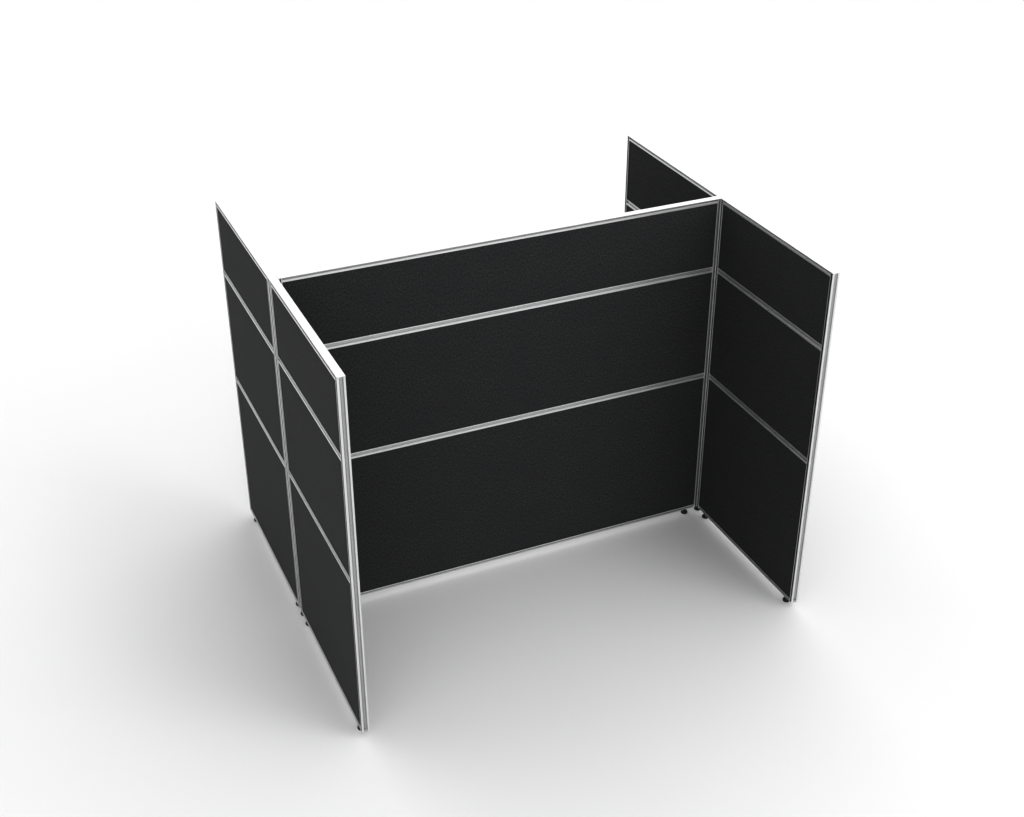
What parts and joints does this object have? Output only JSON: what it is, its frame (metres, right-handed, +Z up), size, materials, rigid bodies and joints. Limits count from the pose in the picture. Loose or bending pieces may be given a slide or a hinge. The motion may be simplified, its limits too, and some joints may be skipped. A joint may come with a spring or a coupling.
{
  "type": "desk privacy panel",
  "caption": "Floor-standing H-plan privacy screen for back-to-back desks: aluminium-framed fabric boards joined at two posts, on levelling feet.",
  "frame": {"origin": "on the floor, under the middle of the centre panel", "axes": "+X along the centre panel, +Y towards the back pair of side panels, +Z up"},
  "size_m": [1.86, 1.543, 1.5],
  "materials": {
    "aluminium": "satin clear anodised",
    "fabric": "plain woven charcoal cloth over a board",
    "black_steel": "black coated steel, satin"
  },
  "bodies": {
    "screen": {"centre_bottom_board": "fabric", "centre_bottom_rail": "aluminium", "centre_left_stile": "aluminium", "centre_lower_rail": "aluminium", "centre_middle_board": "fabric", "centre_right_stile": "aluminium", "centre_top_board": "fabric", "centre_top_rail": "aluminium", "centre_upper_rail": "aluminium", "left_back_bottom_board": "fabric", "left_back_bottom_rail": "aluminium", "left_back_end_stile": "aluminium", "left_back_lower_rail": "aluminium", "left_back_middle_board": "fabric", "left_back_post_stile": "aluminium", "left_back_top_board": "fabric", "left_back_top_rail": "aluminium", "left_back_upper_rail": "aluminium", "left_front_bottom_board": "fabric", "left_front_bottom_rail": "aluminium", "left_front_end_stile": "aluminium", "left_front_lower_rail": "aluminium", "left_front_middle_board": "fabric", "left_front_post_stile": "aluminium", "left_front_top_board": "fabric", "left_front_top_rail": "aluminium", "left_front_upper_rail": "aluminium", "left_post": "aluminium", "right_back_bottom_board": "fabric", "right_back_bottom_rail": "aluminium", "right_back_end_stile": "aluminium", "right_back_lower_rail": "aluminium", "right_back_middle_board": "fabric", "right_back_post_stile": "aluminium", "right_back_top_board": "fabric", "right_back_top_rail": "aluminium", "right_back_upper_rail": "aluminium", "right_front_bottom_board": "fabric", "right_front_bottom_rail": "aluminium", "right_front_end_stile": "aluminium", "right_front_lower_rail": "aluminium", "right_front_middle_board": "fabric", "right_front_post_stile": "aluminium", "right_front_top_board": "fabric", "right_front_top_rail": "aluminium", "right_front_upper_rail": "aluminium", "right_post": "aluminium"},
    "centre_left_foot_body": {"centre_left_foot": "black_steel"},
    "centre_right_foot_body": {"centre_right_foot": "black_steel"},
    "left_front_post_foot_body": {"left_front_post_foot": "black_steel"},
    "left_front_end_foot_body": {"left_front_end_foot": "black_steel"},
    "left_back_post_foot_body": {"left_back_post_foot": "black_steel"},
    "left_back_end_foot_body": {"left_back_end_foot": "black_steel"},
    "right_front_post_foot_body": {"right_front_post_foot": "black_steel"},
    "right_front_end_foot_body": {"right_front_end_foot": "black_steel"},
    "right_back_post_foot_body": {"right_back_post_foot": "black_steel"},
    "right_back_end_foot_body": {"right_back_end_foot": "black_steel"},
    "left_post_foot_body": {"left_post_foot": "black_steel"},
    "right_post_foot_body": {"right_post_foot": "black_steel"}
  },
  "joints": [
    {"name": "centre_left_foot_screw", "type": "slide", "parent": "screen", "child": "centre_left_foot_body", "axis": [0, 0, 1], "range_m": [-0.012, 0]},
    {"name": "centre_right_foot_screw", "type": "slide", "parent": "screen", "child": "centre_right_foot_body", "axis": [0, 0, 1], "range_m": [-0.012, 0]},
    {"name": "left_front_post_foot_screw", "type": "slide", "parent": "screen", "child": "left_front_post_foot_body", "axis": [0, 0, 1], "range_m": [-0.012, 0]},
    {"name": "left_front_end_foot_screw", "type": "slide", "parent": "screen", "child": "left_front_end_foot_body", "axis": [0, 0, 1], "range_m": [-0.012, 0]},
    {"name": "left_back_post_foot_screw", "type": "slide", "parent": "screen", "child": "left_back_post_foot_body", "axis": [0, 0, 1], "range_m": [-0.012, 0]},
    {"name": "left_back_end_foot_screw", "type": "slide", "parent": "screen", "child": "left_back_end_foot_body", "axis": [0, 0, 1], "range_m": [-0.012, 0]},
    {"name": "right_front_post_foot_screw", "type": "slide", "parent": "screen", "child": "right_front_post_foot_body", "axis": [0, 0, 1], "range_m": [-0.012, 0]},
    {"name": "right_front_end_foot_screw", "type": "slide", "parent": "screen", "child": "right_front_end_foot_body", "axis": [0, 0, 1], "range_m": [-0.012, 0]},
    {"name": "right_back_post_foot_screw", "type": "slide", "parent": "screen", "child": "right_back_post_foot_body", "axis": [0, 0, 1], "range_m": [-0.012, 0]},
    {"name": "right_back_end_foot_screw", "type": "slide", "parent": "screen", "child": "right_back_end_foot_body", "axis": [0, 0, 1], "range_m": [-0.012, 0]},
    {"name": "left_post_foot_screw", "type": "slide", "parent": "screen", "child": "left_post_foot_body", "axis": [0, 0, 1], "range_m": [-0.012, 0]},
    {"name": "right_post_foot_screw", "type": "slide", "parent": "screen", "child": "right_post_foot_body", "axis": [0, 0, 1], "range_m": [-0.012, 0]}
  ]
}
